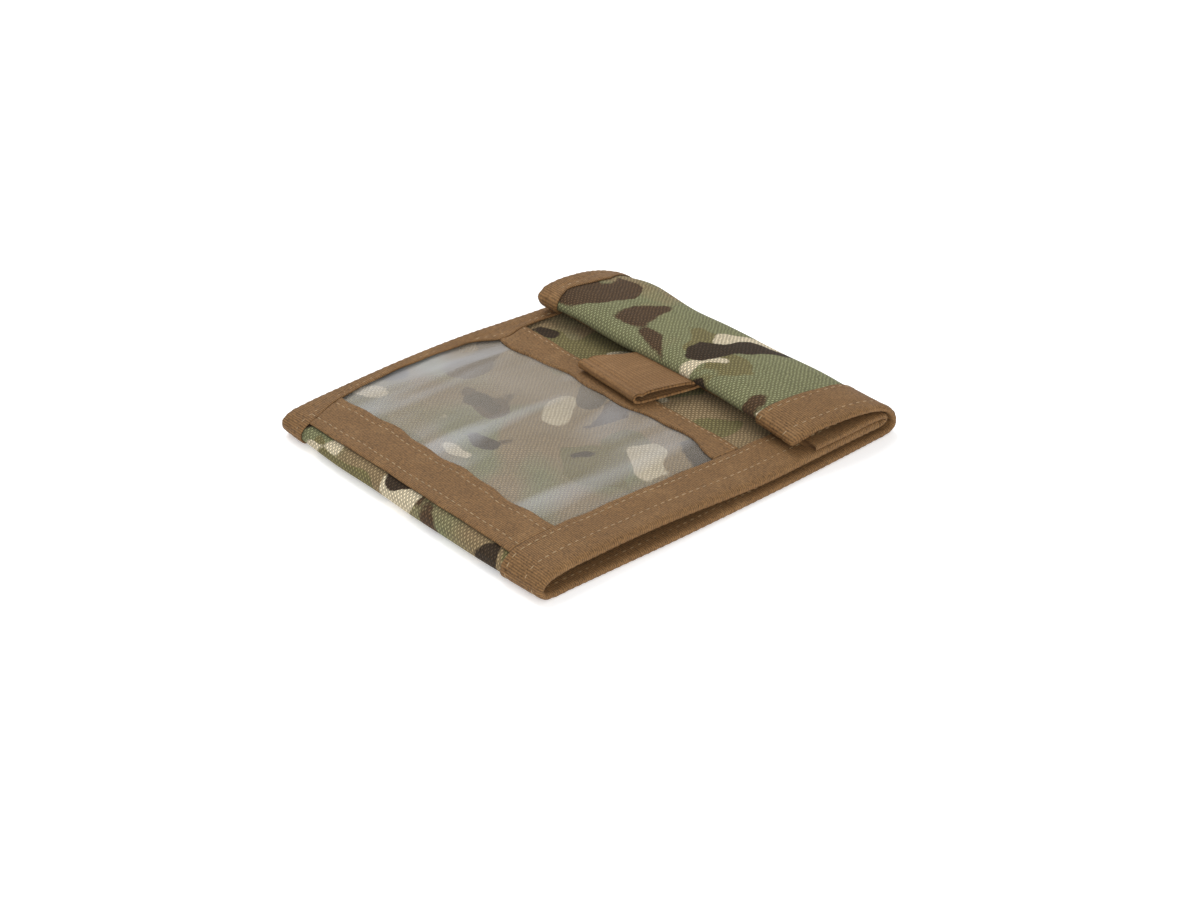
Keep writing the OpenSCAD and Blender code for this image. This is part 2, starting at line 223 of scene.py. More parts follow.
def camouflageCloth(name, seed, greens=0.5, creams=0.62, darks=0.64, drift=0.0, veiled=None):
    # colours where four noises pass a threshold, times the shade of the yarns; veiled is low, high, near and far
    c = camouflage
    material, tree, surface = newMaterial(name, Roughness=0.88, Specular_IOR_Level=0.12, Sheen_Weight=0.03)
    uv, along, across = clothSpace(tree)
    ragged = (noise(uv, 0.42, seed + 9.0, 3.0, 0.65) - 0.5) * c["ragged"]
    ground = noise(uv, c["blotch"], seed, 1.5, 0.45, 0.5) + ragged
    second = noise(uv, c["blotch"] * 1.25, seed + 3.1, 1.5, 0.45, 0.4) + ragged
    third = noise(uv, c["spot"], seed + 5.7, 1.0, 0.4, 0.3) + ragged
    fourth = noise(uv, c["spot"] * 0.9, seed + 7.9, 1.0, 0.4, 0.3) + ragged
    ground = ground - (along * drift)  # the balance of green and khaki changes slowly along the cloth
    colour = blendColour(ground.step(greens, c["groundSoft"]), tint(*c["green"]), tint(*c["khaki"]))
    colour = blendColour(second.step(c["oliveFrom"], c["soft"]), colour, tint(*c["olive"]))
    colour = blendColour((1 - second).step(c["brownFrom"], c["soft"]), colour, tint(*c["brown"]))
    colour = blendColour(third.step(creams, c["soft"]), colour, tint(*c["cream"]))
    colour = blendColour(fourth.step(darks, c["soft"]), colour, tint(*c["dark"]))
    wander = (noise(uv, 0.4, seed + 11.0, 1.0) - 0.5) * 0.6
    warp = ((across + wander) * (np.pi / c["ribPitch"])).sine()  # yarns that run along the cloth
    weft = ((along + wander) * (np.pi / c["knotPitch"])).sine()  # where they dip under the yarns across it
    over = warp * weft
    yarn = warp.size() ** 0.55 * (0.5 + weft.size() ** 0.7 * 0.5)
    slub = noise(uv, 1.5, seed + 1.3, 2.0, 0.6)
    wear = noise(uv, 0.11, seed + 2.2, 3.0, 0.6)
    depth = 1.0
    if veiled:  # the weave shows less where the vinyl lies over it
        low, high, near, far = veiled
        ends = ((along - low) * 0.5).clip() * ((high - along) * 0.5).clip()
        depth = 1 - ends * ((across - near) * 0.5).clip() * ((far - across) * 0.5).clip() * c["veil"]
    shade = 0.676 + ((yarn - 0.56) * 0.85 + over * 0.42) * depth + (slub - 0.5) * 0.5 + (wear - 0.5) * 0.2
    join(tree, surface, "Base Color", shaded(colour, shade))
    join(tree, surface, "Normal", bump(yarn * 0.8 + over * 0.3 + slub * 0.8 + wear * 0.6, 0.9, 0.24))
    return material


def ribbedTape(name, seed, colour=(127, 94, 57), pitch=0.54, pale=(142, 110, 72), honeycomb=False):
    # ribs across the tape, or a honeycomb on the webbing, broken up by a fine, a middling and a coarse noise
    material, tree, surface = newMaterial(name, Roughness=0.78, Specular_IOR_Level=0.3)
    uv, along, across = clothSpace(tree)
    drift = noise(uv, 0.35, seed + 4.0, 2.0, 0.5)
    wave = (along * (2 * np.pi / pitch) + (drift - 0.5) * 1.6).sine()
    rib = weave(across, along, pitch).size() if honeycomb else wave * 0.5 + 0.5
    fine = noise(scaled(uv, 5.0, 1.2), 1.0, seed, 2.0, 0.6)
    wear = noise(uv, 0.16, seed + 6.0, 3.0, 0.6)
    grain = noise(uv, 2.1, seed + 8.0, 2.0, 0.7)
    rib = rib * (grain * 2.0).clip()
    shade = 0.555 + rib * 0.5 + (fine - 0.5) * 0.85 + (grain - 0.5) * 1.3 + (wear - 0.5) * 0.2
    base = blendColour((wear.step(0.62, 0.2) * 0.5).clip(), tint(*colour), tint(*pale))
    join(tree, surface, "Base Color", shaded(base, shade))
    join(tree, surface, "Normal", bump(rib * 0.45 + fine * 0.6 + grain * 0.9, 0.8, 0.15))
    return material


def plainLining(name, seed, colour=(112, 92, 66)):
    # a plain fine weave with worn patches
    material, tree, surface = newMaterial(name, Roughness=0.8, Sheen_Weight=0.1)
    uv, along, across = clothSpace(tree)
    woven = weave(across, along, 0.34)
    patch = noise(uv, 0.2, seed, 3.0, 0.6)
    shade = 0.84 + woven.size() * 0.1 + (patch - 0.5) * 0.3
    join(tree, surface, "Base Color", shaded(tint(*colour), shade))
    join(tree, surface, "Normal", bump(woven + patch, 0.6, 0.07))
    return material


def sewingThread(name, colour=(156, 130, 95)):
    # twisted plies: a sine along a slant
    material, tree, surface = newMaterial(name, Roughness=0.6)
    uv, along, across = clothSpace(tree)
    ply = ((along + across * 0.8) * (2 * np.pi / 0.42)).sine() * 0.5 + 0.5
    shade = 0.42 + ply * 0.3 + noise(uv, 0.35, 2.0, 1.0) * 0.8
    join(tree, surface, "Base Color", shaded(tint(*colour), shade))
    join(tree, surface, "Normal", bump(ply, 0.6, 0.05))
    return material


def clearVinyl(name):
    # a milky veil with a painted sheen that thickens towards the far mouth corner, and broad soft streaks of painted
    # glare along the wallet
    material, tree, surface = newMaterial(name, Roughness=0.32, IOR=1.5)
    uv, along, across = clothSpace(tree)
    # pale bluish streaks along the wallet: a painted reflection of the lamps, paler in colour and less see-through
    paintedGlare = noise(scaled(uv, 0.014, 0.085), 1.0, 8.0, 1.0, 0.4, 0.9).step(0.56, 0.22)
    cloud = noise(uv, 0.035, 3.0, 2.0, 0.5, 0.4).step(0.5, 0.5)
    # a painted sheen: the veil grows more opaque towards the far mouth corner
    corner = (along * -0.012 + across * 0.009 - 1.0 + (cloud - 0.5) * 0.5).clip()
    join(tree, surface, "Base Color", blendColour(paintedGlare, tint(158, 147, 130), tint(196, 197, 200)))
    join(tree, surface, "Alpha", 0.12 + cloud * 0.09 + paintedGlare * 0.16 + corner * 0.36)
    return material


def fastenerPile(name, seed, colour, hooks):
    # loops: a soft tangle; hooks: rows of short stiff points
    material, tree, surface = newMaterial(name, Roughness=0.7, Sheen_Weight=0.3)
    uv, along, across = clothSpace(tree)
    tangle = noise(uv, 2.6, seed, 3.0, 0.7, 1.2)
    rows = weave(across, along, 0.8).size()
    height = rows if hooks else tangle
    shade = 0.6 + height * 0.6
    join(tree, surface, "Base Color", shaded(tint(*colour), shade))
    join(tree, surface, "Normal", bump(height, 1.0, 0.4))
    return material


finish = {
    "shellCloth": camouflageCloth("shellCloth", 31.0, **shellMix),
    "landingCloth": camouflageCloth("landingCloth", 52.0),
    "tape": ribbedTape("bindingTape", 5.0),
    "webbing": ribbedTape("tabWebbing", 11.0, (142, 105, 65), 0.85, pale=(158, 121, 80), honeycomb=True),
    "lining": plainLining("liningCloth", 7.0),
    "thread": sewingThread("sewingThread"),
    "vinyl": clearVinyl("clearVinyl"),
    "vinylBack": newMaterial("clearVinylBack", Roughness=0.3, Alpha=0.05)[0],
    "hooks": fastenerPile("hookTape", 4.0, (112, 94, 68), True),
    "loops": fastenerPile("loopTape", 6.0, (120, 100, 72), False),
}
print("materials made:", len(finish))


# cloth strips as surfaces
def throughPoints(stations, rows, s):
    # cubic pieces through the rows, each row's slope taken from its two neighbours
    slopes = np.gradient(rows, stations, axis=0)
    i = np.clip(np.searchsorted(stations, s, side="right") - 1, 0, len(stations) - 2)
    gap = stations[i + 1] - stations[i]
    t = ((s - stations[i]) / gap)[..., None]
    gap = gap[..., None]
    return ((2 * t**3 - 3 * t**2 + 1) * rows[i] + (t**3 - 2 * t**2 + t) * gap * slopes[i]
            + (3 * t**2 - 2 * t**3) * rows[i + 1] + (t**3 - t**2) * gap * slopes[i + 1])


class Strip:
    # a cloth strip through three rails: near edge, middle and far edge, each row x, z or x, y, z
    def __init__(self, rows, outer, power=3.0, ripple=0.0, seed=0, offset=0.0, way=1.0, calm=0.0, puffs=()):
        table = np.array(rows, float)
        self.rows = table
        middle = table[:, 0:2]
        self.stations = np.concatenate([[0], np.cumsum(np.linalg.norm(np.diff(middle, axis=0), axis=1))])
        self.length = float(self.stations[-1])
        self.outer, self.power, self.ripple, self.offset = outer, power, ripple, offset
        self.way, self.calm, self.puffs = way, calm, puffs
        draw = np.random.default_rng(seed)
        self.waves = draw.uniform([0.1, 0.06, 0, 0.4], [0.42, 0.24, 6.28, 1.0], (9, 4))

    def base(self, u, v):
        # middle + (edge - middle) * |v| ** power in x and z, and edge * |v| in y
        r = throughPoints(self.stations, self.rows, np.clip(u, 0, self.length))
        near = (v < 0)[..., None]
        edge = np.where(near, r[..., 2:5], r[..., 5:8])
        share = np.abs(v) ** self.power
        x = r[..., 0] + (edge[..., 0] - r[..., 0]) * share
        z = r[..., 1] + (edge[..., 2] - r[..., 1]) * share
        return np.stack([x, edge[..., 1] * np.abs(v), z], -1)

    def frameAt(self, u, v):
        # place, direction along, direction across and outward normal, from small steps along and across
        along = self.base(u + 0.04, v) - self.base(u - 0.04, v)
        across = self.base(u, v + 0.002) - self.base(u, v - 0.002)
        along /= np.linalg.norm(along, axis=-1, keepdims=True) + 1e-12
        normal = np.cross(along, across) * self.outer
        normal /= np.linalg.norm(normal, axis=-1, keepdims=True) + 1e-12
        return self.base(u, v), along, np.cross(normal, along) * self.outer, normal

    def swell(self, u, v):
        # a sum of nine slow sines that fades out towards the bound edges and the calm start, and bell-shaped puffs
        y = v * halfWidth
        total = sum(a * np.sin(fx * (u + self.offset) + fy * y + p) for fx, fy, p, a in self.waves) / 3.0
        start = np.clip(u / self.calm, 0, 1) if self.calm else 1.0
        puffed = sum(h * np.exp(-(((u - at) / wide) ** 2) - ((y - side) / deep) ** 2)
                     for at, side, wide, deep, h in self.puffs)
        return self.ripple * total * (1 - np.abs(v) ** 6) * start + puffed

    def lift(self, u, v, h):
        # the place h above the strip's middle layer
        u, v, h = np.broadcast_arrays(np.asarray(u, float), np.asarray(v, float), np.asarray(h, float))
        place, _, _, normal = self.frameAt(u, v)
        return place + normal * (h + self.swell(u, v))[..., None]

    def atX(self, x, start=0.0):
        # the length along the strip, from start on, at which its middle passes x
        s = np.linspace(start, self.length, 2400)
        path = throughPoints(self.stations, self.rows, s)[:, 0]
        return float(s[np.argmin(np.abs(path - x))])


def eased(x):
    # 0 to 1 with level ends: 3 x squared - 2 x cubed
    x = np.clip(x, 0, 1)
    return x * x * (3 - 2 * x)


def quads(rows, cols, closed=False):
    # a grid's four-sided faces by vertex number, rows first; closed joins the last column to the first
    i = np.arange(rows - 1)[:, None]
    j = np.arange(cols if closed else cols - 1)[None, :]
    after = (j + 1) % cols
    return np.stack([i * cols + j, (i + 1) * cols + j, (i + 1) * cols + after, i * cols + after], -1).reshape(-1, 4)


tableGap = 0.02  # height of the lowest points, so that nothing sinks into the table


def makePiece(name, points, faces, uvs, materials, materialIndex=None, smooth=True):
    # points in millimetres; faces are rows of four vertex numbers
    points = np.column_stack([points[:, :2], np.maximum(points[:, 2], tableGap)])
    mesh = bpy.data.meshes.new(name)
    mesh.from_pydata((points * mm).tolist(), [], faces.tolist())
    layer = mesh.uv_layers.new(name="UVMap")
    corner = np.zeros(len(mesh.loops), np.int32)
    mesh.loops.foreach_get("vertex_index", corner)
    layer.data.foreach_set("uv", uvs[corner].astype(np.float32).ravel())
    for m in materials:
        mesh.materials.append(m)
    if materialIndex is not None:
        mesh.polygons.foreach_set("material_index", materialIndex.astype(np.int32))
    mesh.polygons.foreach_set("use_smooth", np.broadcast_to(smooth, len(mesh.polygons)).astype(bool))
    mesh.validate()
    mesh.update()
    piece = bpy.data.objects.new(name, mesh)
    scene.collection.objects.link(piece)
    return piece


def turnOutward(points, faces):
    # flips all faces if the closed shell's signed volume, a . (b x c) summed over its triangles, is negative
    volume = 0.0
    for corners in ((0, 1, 2), (0, 2, 3)):
        a, b, c = (points[faces[:, n]] for n in corners)
        volume += np.einsum("ij,ij->i", a, np.cross(b, c)).sum()
    return faces[:, ::-1] if volume < 0 else faces


def layered(strip, u, v, low, high, uv):
    # a closed sheet over a grid of a strip's u, v: an upper layer, a lower layer and a wall round both
    points = np.concatenate([strip.lift(u, v, high).reshape(-1, 3), strip.lift(u, v, low).reshape(-1, 3)])
    n, grid = u.size, np.arange(u.size).reshape(u.shape)
    ring = np.concatenate([grid[:-1, 0], grid[-1, :-1], grid[:0:-1, -1], grid[0, :0:-1]])
    after = np.roll(ring, -1)
    top, wall = quads(*u.shape), np.stack([ring, ring + n, after + n, after], -1)
    faces = np.concatenate([top, top[:, ::-1] + n, wall[:, ::-1]])
    uv = np.stack(uv, -1).reshape(-1, 2)
    return points, turnOutward(points, faces), np.concatenate([uv, uv])


def slabArrays(strip, u0, u1, v0, v1, low, high, step, rows=None):
    # a sheet between two heights over a strip; a height is a number or a function of u and v
    nu = max(3, int(abs(u1 - u0) / step) + 2)
    nv = rows or max(3, int(abs(v1 - v0) * halfWidth / step) + 2)
    u, v = np.meshgrid(np.linspace(u0, u1, nu), np.linspace(v0, v1, nv), indexing="ij")
    low, high = (h(u, v) if callable(h) else h for h in (low, high))
    return layered(strip, u, v, low, high, (u * strip.way + strip.offset, v * halfWidth))


def slab(name, strip, u0, u1, v0, v1, low, high, material, step):
    # such a sheet as a piece of its own
    points, faces, uvs = slabArrays(strip, u0, u1, v0, v1, low, high, step)
    upper = len(points) // 2
    walls = (faces < upper).any(axis=1) & (faces >= upper).any(axis=1)  # they stay flat, so the top shades evenly
    return makePiece(name, points, faces, uvs, [material], smooth=~walls)


sewing = {
    "pitch": 2.05, "length": 1.45, "width": 0.32, "height": 0.16, "jitterAlong": 0.05, "jitterAcross": 0.0008,
    "toneShift": 7.0,  # millimetres of the thread's pattern from one stitch to the next
}


def capsules(place, along, across, normal):
    # rounded stitches: a ring (cos q, sin q) carried along a half-ellipse of length, one stitch for each place
    around, rings = 6, 5
    each = around * rings
    q = np.linspace(0, 2 * np.pi, around, endpoint=False)
    x = np.array([-1.0, -0.72, 0.0, 0.72, 1.0])
    r = np.array([0.12, 0.72, 1.0, 0.72, 0.12])
    sink = np.array([-0.75, -0.1, 0.0, -0.1, -0.75])
    along0 = (x[:, None] * np.ones(around)).ravel() * sewing["length"] / 2
    across0 = (r[:, None] * np.cos(q)).ravel() * sewing["width"] / 2
    up0 = (r[:, None] * np.sin(q) + sink[:, None]).ravel() * sewing["height"]
    points = (place[:, None, :] + along[:, None, :] * along0[None, :, None]
              + across[:, None, :] * across0[None, :, None] + normal[:, None, :] * up0[None, :, None]).reshape(-1, 3)
    ends = np.array([[0, 1, 2, 5], [5, 2, 3, 4], [26, 25, 24, 29], [28, 27, 26, 29]])
    one = np.concatenate([quads(rings, around, closed=True), ends])
    count = len(place)
    faces = (one[None] + (np.arange(count) * each)[:, None, None]).reshape(-1, 4)
    shift = np.repeat(np.arange(count) * sewing["toneShift"], each)  # so that no two stitches have the same tone
    uv = np.stack([np.tile(along0, count) + shift, np.tile(across0, count)], -1)
    turned = turnOutward(points[:each] - points[:each].mean(0), one)
    return points, faces if np.array_equal(turned, one) else faces[:, ::-1], uv


def stitchRow(strip, u0, u1, vOf, height, sign=1.0):
    # stitches along a strip at a steady pitch; vOf gives the place across at each length
    count = max(2, int((u1 - u0) / sewing["pitch"]))
    u = np.linspace(u0, u1, count) + chance.normal(0, sewing["jitterAlong"], count)
    v = vOf(u) if callable(vOf) else np.full(count, float(vOf))
    place, along, across, normal = strip.frameAt(u, v)
    h = height(u) if callable(height) else height
    place = place + normal * (sign * h + strip.swell(u, v))[:, None]
    return capsules(place, along, across, normal * sign)


def crossRow(strip, uOf, v0, v1, height):
    # stitches across a strip at a steady pitch; uOf gives the length along at each place across
    count = max(2, int(abs(v1 - v0) * halfWidth / sewing["pitch"]))
    v = np.linspace(v0, v1, count) + chance.normal(0, sewing["jitterAcross"], count)
    u = uOf(v)
    place, along, across, normal = strip.frameAt(u, v)
    place = place + normal * (height + strip.swell(u, v))[:, None]
    return capsules(place, across, along, normal)


def together(name, parts, materials):
    # several closed shells in one piece; parts are (points, faces, uvs, material number)
    shift, points, faces, uvs, index = 0, [], [], [], []
    for p, f, t, m in parts:
        points.append(p)
        faces.append(f + shift)
        uvs.append(t)
        index.append(np.full(len(f), m))
        shift += len(p)
    points, faces, uvs, index = (np.concatenate(a) for a in (points, faces, uvs, index))
    return makePiece(name, points, faces, uvs, materials, index)


edging = {  # every folded tape
    "thick": 0.5, "step": 0.55, "plain": 0.86, "riseOver": 5.0,  # the upper leg rises from plain over the clear sheet
    "widenFrom": 1.2, "widenOver": 2.0, "sway": (0.2, 0.1), "heave": 0.10,
    "pressed": 0.13, "pressWidth": 0.45, "stitchStart": 1.2, "sunkNear": 0.10, "sunkFar": 0.17,
}


def edgeTape(name, strip, u0, u1, near, width, upper, lower, rows, pucker, widen=None):
    # a tape folded over an edge: its section, (inset from the edge, height), is carried along the strip;
    # a sine of the stitch pitch gathers it, two slow sines sway its free edge, and each stitch row is pressed in
    side = -1.0 if near else 1.0
    g, t = edging, edging["thick"]
    inset = np.concatenate([
        [width - 0.02, width - 0.14], np.linspace(width - 0.7, 2.0, 12), [1.1, 0.5, 0.14, 0.0, 0.14, 0.5, 1.1],
        np.linspace(2.0, width - 0.7, 8), [width - 0.14, width - 0.02, width - 0.02],
        [width - 0.5, 1.5, 0.8, 0.62, 0.8, 1.5, width - 0.5, width - 0.02]])
    height = np.concatenate([
        [upper - 0.16, upper - 0.02], np.full(12, upper),
        [upper * 0.94, upper * 0.8, upper * 0.5, 0.0, -lower * 0.5, -lower * 0.8, -lower * 0.94],
        np.full(8, -lower), [-lower + 0.02, -lower + 0.16, -lower + t - 0.1],
        [-lower + t, -lower + t, -lower * 0.35, 0.0, upper * 0.35, upper - t, upper - t, upper - t + 0.1]])
    k = len(inset)
    outerFace = np.arange(k)[None, :] < 23  # the upper leg, the rounded edge and the start of the lower leg
    nu = int((u1 - u0) / g["step"]) + 2
    u = np.linspace(u0, u1, nu)[:, None] * np.ones(k)
    height = height * np.ones((nu, 1))

    def rising(u):
        return g["plain"] + (upper - g["plain"]) * eased((u - u0) / g["riseOver"])

    def widened(inset, u):
        # an inset times the widening at u, which starts a little way in from the edge
        scale = widen(u) if widen else 1.0
        return inset * (1 + (scale - 1) * np.clip((inset - g["widenFrom"]) / g["widenOver"], 0, 1))

    def edgeAt(u):
        # how far the strip's edge is from its middle
        return np.abs(throughPoints(strip.stations, strip.rows, np.clip(u, 0, strip.length))[..., 3 if near else 6])

    if upper > 1:
        height = np.where(height > 0, height * rising(u) / upper, height)
    phase = np.random.default_rng(7 + int(width * 10) + int(near) + int(strip.offset)).uniform(0, 6.28, 4)
    sway = g["sway"][0] * np.sin(0.21 * u + phase[0]) + g["sway"][1] * np.sin(0.57 * u + phase[1])
    e = widened(inset, u) + sway * np.clip(inset / width, 0, 1) ** 3 * (inset > g["widenFrom"])
    outside = np.clip(1 - np.abs(e) / (min(rows) + 0.6), 0, 1)
    gather = np.sin(2 * np.pi * u / sewing["pitch"] + phase[2] + 0.5 * np.sin(0.3 * u + phase[3]))
    h = height + np.sign(height) * outerFace * pucker * (0.35 + outside) * gather
    h = h + np.sign(h) * outerFace * g["heave"] * np.sin(0.33 * u + phase[1]) * np.clip(e / width, 0, 1)
    for r in rows:
        h = h - outerFace * np.sign(h) * g["pressed"] * np.exp(-((e - r) / g["pressWidth"]) ** 2)
    v = side * (1 - e / edgeAt(u))
    place, along, across, normal = strip.frameAt(u, v)
    bulge = side * across * (pucker * 0.3 * gather * (e < 0.3))[..., None]
    points = (place + bulge + normal * (h + strip.swell(u, v))[..., None]).reshape(-1, 3)
    run = np.concatenate([[0], np.cumsum(np.hypot(np.diff(inset), np.diff(height[-1])))])
    uvs = np.stack([u + strip.offset, np.broadcast_to(run, (nu, k))], -1).reshape(-1, 2)
    faces = quads(nu, k, closed=True)
    for row, back in ((0, False), (nu - 1, True)):  # each end is closed between the outer run and the return
        ring = row * k + np.arange(k)
        a, b = ring[:k // 2], ring[::-1][:k // 2]
        cap = np.stack([a[:-1], a[1:], b[1:], b[:-1]], -1)
        faces = np.concatenate([faces, cap if back else cap[:, ::-1]])
    parts = [(points, turnOutward(points, faces), uvs, 0)]
    sunk = g["sunkNear"] if near else g["sunkFar"]
    top = (lambda u: rising(u) - sunk) if upper > 1 else upper - sunk
    for r in rows:
        vRow = lambda u, r=r: side * (1 - widened(r, u) / edgeAt(u))
        for rise, sign in ((top, 1.0), (lower - sunk, -1.0)):  # above and below
            parts.append((*stitchRow(strip, u0 + g["stitchStart"], u1 - g["stitchStart"], vRow, rise, sign), 1))
    return together(name, parts, [finish["tape"], finish["thread"]])


# the strips' rails
drawnSize = (110.0, 95.0, 12.62)  # the rails below are drawn for a wallet of this size
frameSize = (cadHigh - cadLow) / mm


def fitted(rows):
    # carries the drawn rails to the frame's own box: each x, y and z times frame size / drawn size
    fx, fy, fz = (float(frameSize[i]) / drawnSize[i] for i in range(3))
    shift = np.array([float(cadLow[0] + cadHigh[0]) / 2 / mm, float(cadLow[2]) / mm])
    scale = np.array([fx, fz, fx, fy, fz, fx, fy, fz])
    move = np.array([shift[0], shift[1], shift[0], 0, shift[1], shift[0], 0, shift[1]])
    return np.array(rows, float) * scale + move


# each row: middle x z, near edge x y z, far edge x y z
rails = {
    "left": [
        (0, 0.86, 0, -49.2, 0.95, 0, 47.6, 0.95), (-18, 0.86, -18, -49.0, 0.95, -18, 47.6, 0.95),
        (-36, 0.86, -36, -48.4, 0.93, -36, 47.6, 0.93), (-48, 0.82, -47, -48.0, 0.9, -47, 47.5, 0.9),
        (-53.0, 0.86, -52.2, -47.9, 0.95, -51.8, 47.5, 0.95), (-55.1, 1.5, -54.2, -47.9, 1.5, -53.8, 47.4, 1.5),
        (-55.7, 2.5, -54.9, -47.8, 2.4, -54.6, 47.4, 2.4), (-55.5, 3.6, -54.9, -47.7, 3.2, -54.7, 47.4, 3.2),
        (-54.6, 4.8, -54.2, -47.6, 4.1, -54.2, 47.3, 4.0), (-52.9, 5.7, -52.6, -47.5, 4.9, -52.8, 47.1, 4.6),
        (-49.5, 6.1, -49.5, -47.4, 5.4, -49.8, 47.0, 5.0), (-38, 6.1, -38, -47.3, 5.55, -39, 47.0, 5.7),
        (-20, 5.6, -20, -47.4, 5.2, -20, 47.3, 6.2), (-8, 5.2, -8, -47.6, 4.5, -8, 47.4, 6.2),
        (3, 4.9, 3, -47.9, 3.8, 3, 47.2, 6.0), (12, 4.6, 12, -48.1, 3.45, 12, 46.9, 5.6),
        (25, 4.4, 25, -48.2, 3.55, 25, 46.8, 4.9), (39, 4.3, 39, -48.3, 3.8, 39, 46.8, 4.5),
        (48.6, 4.0, 48.8, -48.2, 3.6, 48.4, 46.8, 4.1)],
    "landing": [
        (48.6, 4.0, 48.8, -48.2, 3.6, 48.4, 46.8, 4.1), (50.2, 4.25, 50.5, -48.2, 4.0, 50.0, 46.8, 4.35),
        (50.8, 4.95, 51.3, -48.3, 4.9, 50.6, 46.8, 5.0), (50.2, 5.6, 50.5, -48.4, 5.6, 50.0, 46.8, 5.65),
        (48.4, 5.9, 48.4, -48.4, 5.85, 48.2, 46.8, 5.95), (39, 6.2, 39, -48.4, 5.9, 39, 46.7, 6.4),
        (32, 6.3, 32, -48.3, 5.9, 32, 46.6, 6.6), (26.8, 6.3, 27.4, -48.2, 5.9, 26.8, 46.5, 6.65)],
    "right": [
        (0, 0.86, 0, -49.2, 0.95, 0, 47.6, 0.95), (18, 0.86, 18, -49.2, 0.95, 18, 47.6, 0.95),
        (36, 0.86, 36, -48.9, 0.93, 36, 47.6, 0.93), (47, 0.87, 47, -48.6, 0.92, 47, 47.5, 0.92),
        (51.3, 0.98, 51.3, -48.5, 1.0, 51.3, 47.5, 1.0), (53.4, 1.5, 53.5, -48.4, 1.5, 53.4, 47.4, 1.5),
        (54.2, 2.5, 54.3, -48.3, 2.4, 54.2, 47.3, 2.5), (54.0, 3.7, 54.2, -48.3, 3.5, 54.0, 47.3, 3.6),
        (53.1, 5.6, 53.6, -48.4, 5.0, 53.0, 47.3, 5.0), (51.2, 7.6, 51.9, -48.4, 6.8, 50.9, 47.2, 6.4),
        (48, 9.5, 48.4, -48.3, 8.3, 47.2, 47.0, 8.2), (42, 11.1, 42.4, -47.9, 9.35, 41.6, 46.7, 10.3),
        (35, 11.9, 35.4, -47.2, 9.6, 35, 46.4, 11.7), (29, 12.0, 29.4, -46.5, 9.4, 28.6, 46.2, 12.1),
        (25.5, 11.1, 25.4, -45.8, 8.9, 25.0, 46.0, 11.6), (24.2, 9.7, 23.3, -45.2, 8.1, 23.4, 45.9, 10.3),
        (24.9, 8.35, 23.4, -44.9, 7.3, 24.0, 45.9, 8.8), (27.0, 7.95, 25.2, -44.8, 7.3, 26.2, 46.0, 8.1),
        (31, 8.75, 30.5, -45.2, 8.3, 31, 46.2, 8.75)],
    "flapFloor": [
        (30.6, 9.0, 30.6, -44.5, 8.8, 30.6, 44.8, 9.1), (36, 8.98, 36, -44.6, 8.75, 36, 44.8, 9.1),
        (42, 8.85, 42, -44.8, 8.6, 42, 44.8, 8.9), (48, 8.5, 48, -44.9, 8.1, 47.6, 44.8, 8.0)],
    "innerBack": [
        (-52, 0.86, -52, -48, 0.93, -52, 47.6, 0.93), (-20, 0.86, -20, -48, 0.95, -20, 47.6, 0.95),
        (20, 0.86, 20, -48, 0.95, 20, 47.6, 0.95), (52, 0.86, 52, -48, 0.93, 52, 47.6, 0.93)],
    "tab": [
        (24.9, 7.3, 24.9, -10.6, 7.2, 24.9, 9.6, 7.5), (20, 7.0, 20.2, -9.2, 6.95, 20.4, 11.6, 7.2),
        (15, 6.8, 15.0, -7.5, 6.7, 15.9, 13.5, 6.95), (12.6, 6.7, 12.4, -6.7, 6.6, 13.4, 14.6, 6.85),
        (10.9, 6.7, 10.6, -6.1, 6.6, 11.8, 15.3, 6.85), (10.0, 7.0, 9.6, -5.8, 6.9, 10.95, 15.6, 7.1),
        (9.6, 7.7, 9.2, -5.7, 7.65, 10.6, 15.7, 7.8), (9.9, 8.4, 9.5, -5.75, 8.35, 10.9, 15.65, 8.5),
        (10.7, 8.7, 10.4, -6.0, 8.65, 11.7, 15.4, 8.8), (11.6, 8.4, 11.3, -6.3, 8.35, 12.6, 15.1, 8.45),
        (12.6, 8.75, 12.4, -6.6, 8.7, 13.5, 14.7, 8.85), (15, 8.95, 15.0, -7.4, 8.9, 15.6, 13.9, 8.9),
        (18, 8.95, 18.1, -8.4, 8.95, 18.4, 12.6, 8.6), (22, 8.75, 22.1, -9.7, 8.85, 22.2, 10.8, 8.3),
        (24.9, 8.4, 24.9, -10.6, 8.5, 24.9, 9.6, 8.3)],
    "tail": [
        (24.8, 7.4, 24.8, -10.6, 7.3, 24.8, 9.6, 7.5), (28, 7.62, 28, -11.6, 7.6, 28, 8.3, 7.62),
        (30.9, 8.15, 30.9, -12.5, 8.15, 30.9, 7.1, 8.15)],
}

strips = {
    "left": Strip(fitted(rails["left"]), 1, power=3.2, ripple=0.24, seed=2, way=-1.0, calm=12.0),
    "landing": Strip(fitted(rails["landing"]), -1, ripple=0.1, seed=3, offset=170.0),
    "right": Strip(fitted(rails["right"]), -1, power=3.3, ripple=0.3, seed=5, calm=12.0,
                   puffs=((63.5, 34.0, 6.0, 8.0, 1.1), (63.5, 17.0, 7.0, 6.0, -0.25))),
    "flapFloor": Strip(fitted(rails["flapFloor"]), 1, ripple=0.1, seed=6),
    "innerBack": Strip(fitted(rails["innerBack"]), 1, ripple=0.12, seed=7),
    "tab": Strip(fitted(rails["tab"]), -1, power=1.0, ripple=0.05, seed=8),
    "tail": Strip(fitted(rails["tail"]), 1, power=1.0, ripple=0.0, seed=9),
}
print("strips:", ", ".join(f"{n} {s.length:.1f} mm" for n, s in strips.items()))

seamLeft, seamRight = float(strips["left"].stations[7]), float(strips["right"].stations[7])  # halfway up each fold
cloth = {"shell": 0.7, "lining": 0.38, "edge": 0.981, "liningIn": 0.004, "gap": 0.01}
half = cloth["shell"] / 2
liningTop = -half - cloth["gap"]


